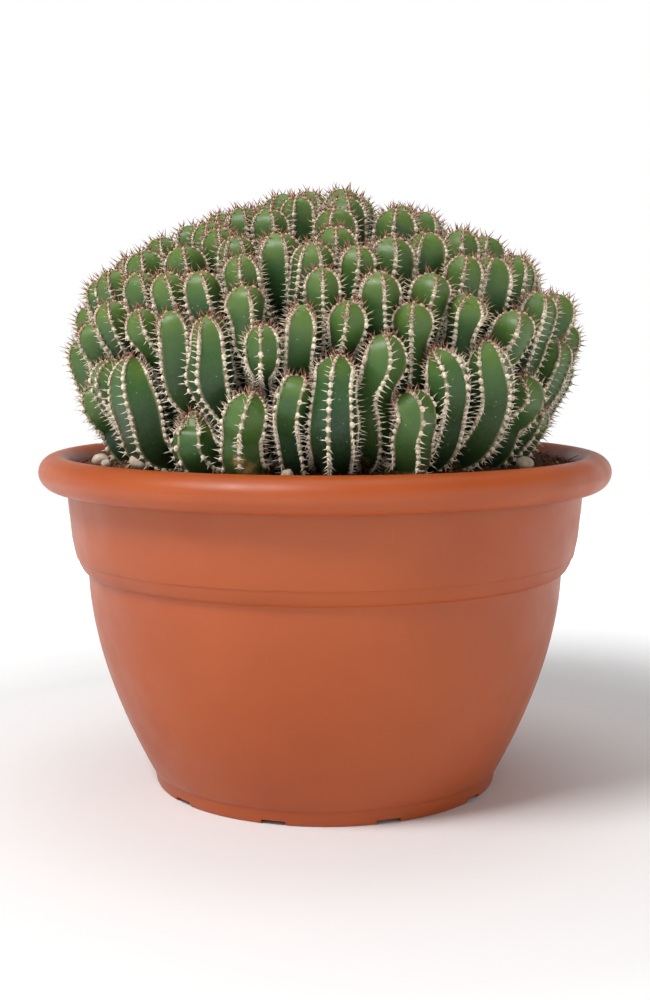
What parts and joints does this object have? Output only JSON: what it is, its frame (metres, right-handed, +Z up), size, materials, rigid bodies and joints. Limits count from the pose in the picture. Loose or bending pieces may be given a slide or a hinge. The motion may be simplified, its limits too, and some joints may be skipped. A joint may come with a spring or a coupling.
{
  "type": "potted spiny succulent plant",
  "caption": "Domed clump of ribbed, spiny succulent stems growing from soil with loose pebbles in a round terracotta-coloured plastic bowl pot.",
  "frame": {"origin": "middle of the pot's foot, on the surface that it stands on", "axes": "+Z up through the middle of the pot and the clump; -Y towards the front of the clump; +X to the right seen from the front"},
  "size_m": [0.4, 0.4, 0.4156],
  "materials": {
    "pot_plastic": "moulded terracotta-coloured polypropylene with a satin surface",
    "soil": null,
    "pebble_stone": "pale rounded river pebbles",
    "stem_skin": null
  },
  "bodies": {
    "root": {"pot": "pot_plastic", "soil": "soil", "pebble_large": "pebble_stone", "pebble_left": "pebble_stone", "pebble_left_small": "pebble_stone", "pebble_front": "pebble_stone", "pebble_right": "pebble_stone", "pebble_back": "pebble_stone", "limb_01": "stem_skin", "limb_02": "stem_skin", "limb_03": "stem_skin", "limb_04": "stem_skin", "limb_05": "stem_skin", "limb_06": "stem_skin", "limb_07": "stem_skin", "limb_08": "stem_skin", "limb_09": "stem_skin", "limb_10": "stem_skin", "limb_11": "stem_skin", "limb_12": "stem_skin", "limb_13": "stem_skin", "limb_14": "stem_skin", "limb_15": "stem_skin", "limb_16": "stem_skin", "limb_17": "stem_skin", "limb_18": "stem_skin", "limb_19": "stem_skin", "limb_20": "stem_skin", "limb_21": "stem_skin", "limb_22": "stem_skin", "limb_23": "stem_skin", "limb_24": "stem_skin", "limb_25": "stem_skin", "limb_26": "stem_skin", "limb_27": "stem_skin", "limb_28": "stem_skin", "limb_29": "stem_skin", "limb_30": "stem_skin", "limb_31": "stem_skin", "limb_32": "stem_skin", "limb_33": "stem_skin", "limb_34": "stem_skin", "limb_35": "stem_skin", "limb_36": "stem_skin", "limb_37": "stem_skin", "limb_38": "stem_skin", "limb_39": "stem_skin", "limb_40": "stem_skin", "limb_41": "stem_skin", "limb_42": "stem_skin", "limb_43": "stem_skin", "limb_44": "stem_skin", "limb_45": "stem_skin", "limb_46": "stem_skin"}
  },
  "joints": []
}
